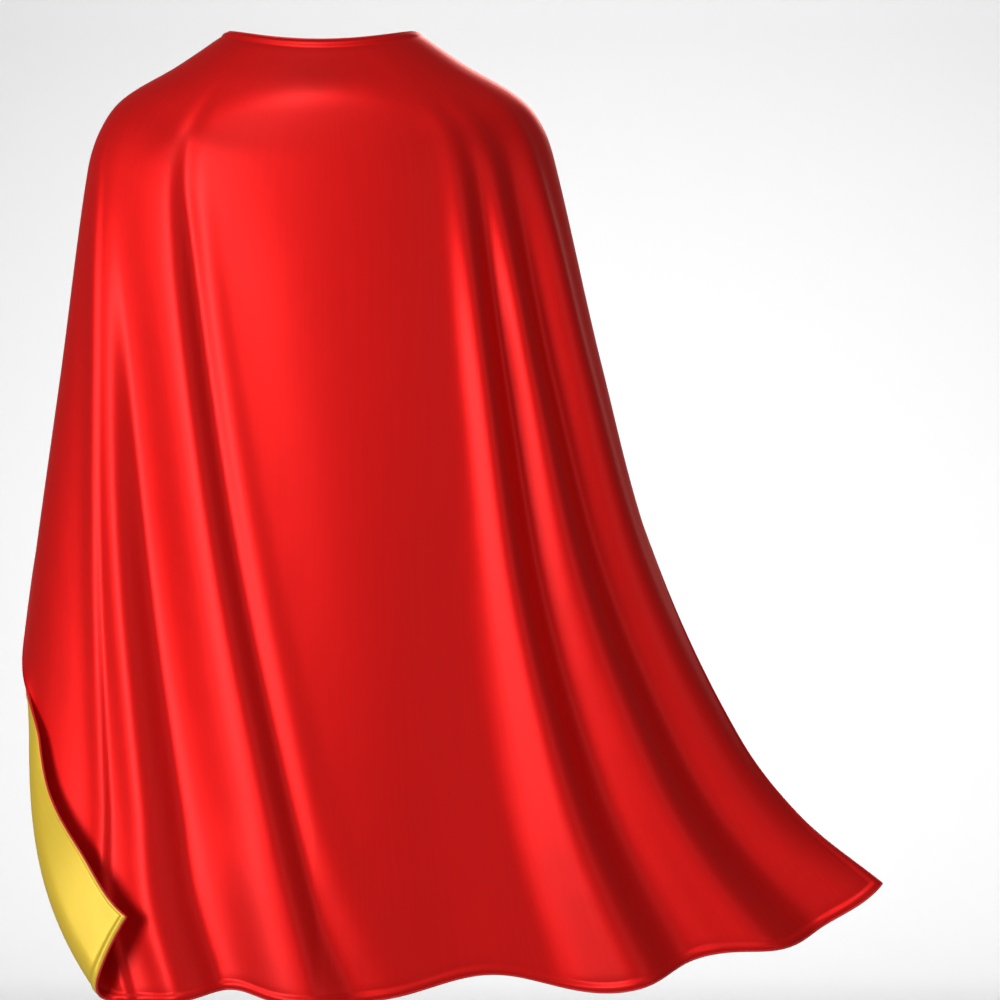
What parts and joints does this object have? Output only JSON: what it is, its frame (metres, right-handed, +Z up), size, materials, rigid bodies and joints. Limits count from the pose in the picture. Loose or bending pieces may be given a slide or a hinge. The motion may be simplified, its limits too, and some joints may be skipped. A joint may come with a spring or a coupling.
{
  "type": "cape",
  "caption": "Child's reversible satin cape, red outside and yellow inside, hanging as worn with one corner turned over, closed at the throat by hook and loop tabs.",
  "frame": {"origin": "centre of the neck opening, level with the back of the neckline", "axes": "+Z up, +Y the way the wearer faces, so the cape's red outside faces -Y; +X to the wearer's right"},
  "size_m": [0.6, 0.1959, 0.68],
  "materials": {
    "red_satin": "red polyester satin, glossy face out",
    "yellow_satin": "yellow polyester satin, glossy face in",
    "white_tape": "plain woven tape and non-woven interfacing",
    "label_ribbon": "blank white satin ribbon",
    "hook_and_loop": "red nylon hook and loop",
    "edge_thread": "red polyester thread"
  },
  "bodies": {
    "yoke": {"shell_yoke": "red_satin", "lining_yoke": "yellow_satin", "neckline_stay_tape": "white_tape", "neckline_seam": "edge_thread", "left_edge_seam_yoke": "edge_thread", "right_edge_seam_yoke": "edge_thread", "care_label": "label_ribbon"},
    "drape": {"shell_drape": "red_satin", "lining_drape": "yellow_satin", "left_edge_seam_drape": "edge_thread", "right_edge_seam_drape": "edge_thread", "hem_seam": "edge_thread"},
    "outer_tab": {"outer_tab_shell": "red_satin", "outer_tab_interfacing": "white_tape", "outer_tab_lining": "yellow_satin", "outer_tab_tip_seam": "edge_thread", "hook_patch": "hook_and_loop", "hook_stitching": "edge_thread"},
    "inner_tab": {"inner_tab_shell": "red_satin", "inner_tab_interfacing": "white_tape", "inner_tab_lining": "yellow_satin", "inner_tab_tip_seam": "edge_thread", "loop_patch": "hook_and_loop", "loop_stitching": "edge_thread"}
  },
  "joints": [
    {"name": "drape_billow", "type": "hinge", "parent": "yoke", "child": "drape", "pos_m": [0, -0.087, -0.128], "axis": [-1, 0, 0], "range_deg": [0, 30]},
    {"name": "outer_tab_open", "type": "hinge", "parent": "yoke", "child": "outer_tab", "pos_m": [0.0579, 0.03964, -0.0274], "axis": [0.4378, 0.2599, -0.8607], "range_deg": [0, 110]},
    {"name": "inner_tab_open", "type": "hinge", "parent": "yoke", "child": "inner_tab", "pos_m": [-0.0579, 0.03964, -0.0274], "axis": [0.4378, -0.2599, 0.8607], "range_deg": [0, 33]}
  ],
  "couplings": [
    {"joint": "inner_tab_open", "follows": "outer_tab_open", "ratio": 0.3}
  ]
}
